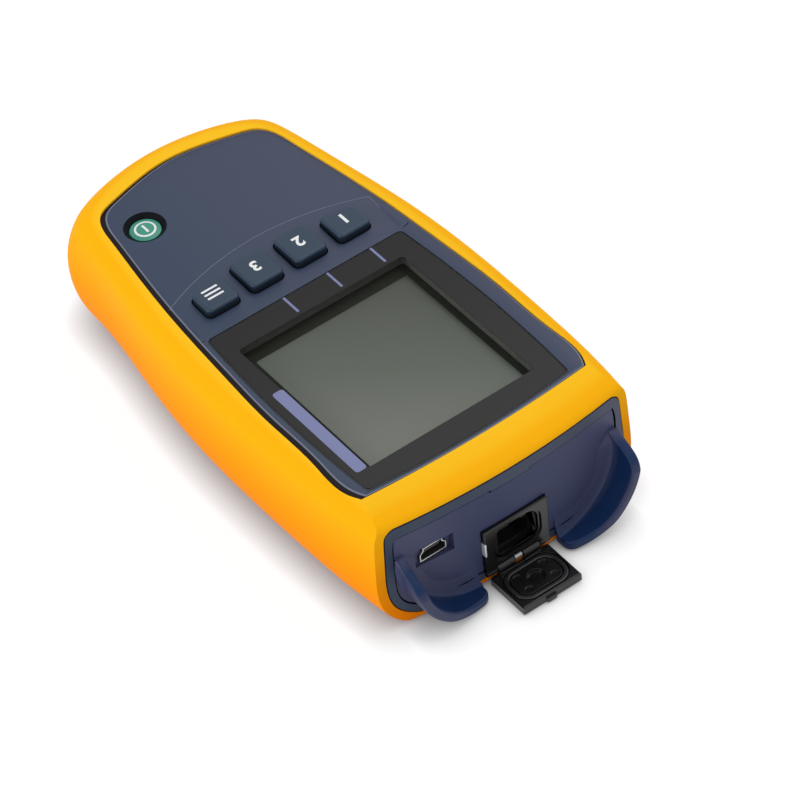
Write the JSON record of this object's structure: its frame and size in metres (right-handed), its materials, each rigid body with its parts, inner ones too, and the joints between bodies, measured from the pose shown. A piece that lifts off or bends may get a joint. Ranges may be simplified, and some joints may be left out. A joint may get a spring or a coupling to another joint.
{
  "type": "optical power meter",
  "caption": "Handheld optical power meter: display, soft keys and power button in a rubber holster, USB and fibre ports between guards, dust door open.",
  "frame": {"origin": "under the middle of the whole meter in plan with its dust door open, on the plane of the holster's back", "axes": "+X across the face, away from the USB side; +Y along the length, away from the connector end; +Z out of the display face"},
  "size_m": [0.0806, 0.1654, 0.0371],
  "materials": {
    "holster_rubber": "satin moulded rubber",
    "case_plastic": "fine matt texture",
    "window_plastic": "hard coated clear, masked dark",
    "lcd_glass": "grey liquid crystal panel",
    "light_guide": "frosted",
    "black_plastic": "soft gloss",
    "key_rubber": "matt silicone",
    "green_rubber": "matt silicone",
    "keypad_rubber": "matt silicone",
    "gasket_rubber": "matt",
    "circuit_board": "solder resist",
    "contact_metal": "bright plated",
    "screw_steel": "plated",
    "ferrule_ceramic": "polished",
    "cell_jacket": "plain printed jacket"
  },
  "bodies": {
    "meter": {"holster": "holster_rubber", "front_shell": "case_plastic", "rear_shell": "case_plastic", "end_panel": "case_plastic", "display_window": "window_plastic", "lcd_panel": "lcd_glass", "lcd_backlight": "light_guide", "lcd_frame": "black_plastic", "keypad_mat": "keypad_rubber", "key_board": "circuit_board", "key_switches": "contact_metal", "main_board": "circuit_board", "usb_shell": "contact_metal", "usb_insert": "black_plastic", "port_frame": "black_plastic", "port_clip": "contact_metal", "fibre_receptacle": "black_plastic", "receptacle_ferrule": "ferrule_ceramic", "detector": "contact_metal", "hinge_pin": "contact_metal", "hinge_spring": "contact_metal", "battery_cells": "cell_jacket", "battery_contacts": "contact_metal", "case_screws": "screw_steel"},
    "menu_key": {"menu_key": "key_rubber"},
    "function_key_1": {"function_key_1": "key_rubber"},
    "function_key_2": {"function_key_2": "key_rubber"},
    "function_key_3": {"function_key_3": "key_rubber"},
    "power_button": {"power_button": "green_rubber"},
    "dust_door": {"dust_door": "black_plastic", "door_gasket": "gasket_rubber"},
    "battery_door": {"battery_door": "case_plastic", "battery_door_screw": "screw_steel"}
  },
  "joints": [
    {"name": "menu_key_press", "type": "slide", "parent": "meter", "child": "menu_key", "axis": [0, 0, -1], "range_m": [0, 0.0008], "stiffness_N_per_m": 700, "springref_m": -0.001},
    {"name": "function_key_1_press", "type": "slide", "parent": "meter", "child": "function_key_1", "axis": [0, 0, -1], "range_m": [0, 0.0008], "stiffness_N_per_m": 700, "springref_m": -0.001},
    {"name": "function_key_2_press", "type": "slide", "parent": "meter", "child": "function_key_2", "axis": [0, 0, -1], "range_m": [0, 0.0008], "stiffness_N_per_m": 700, "springref_m": -0.001},
    {"name": "function_key_3_press", "type": "slide", "parent": "meter", "child": "function_key_3", "axis": [0, 0, -1], "range_m": [0, 0.0008], "stiffness_N_per_m": 700, "springref_m": -0.001},
    {"name": "power_button_press", "type": "slide", "parent": "meter", "child": "power_button", "axis": [0, 0, -1], "range_m": [0, 0.0008], "stiffness_N_per_m": 700, "springref_m": -0.001},
    {"name": "dust_door_hinge", "type": "hinge", "parent": "meter", "child": "dust_door", "pos_m": [0, -0.0684, 0.004], "axis": [-1, 0, 0], "range_deg": [0, 90]},
    {"name": "battery_door_lift", "type": "slide", "parent": "meter", "child": "battery_door", "axis": [0, 0, -1], "range_m": [0, 0.012]}
  ]
}
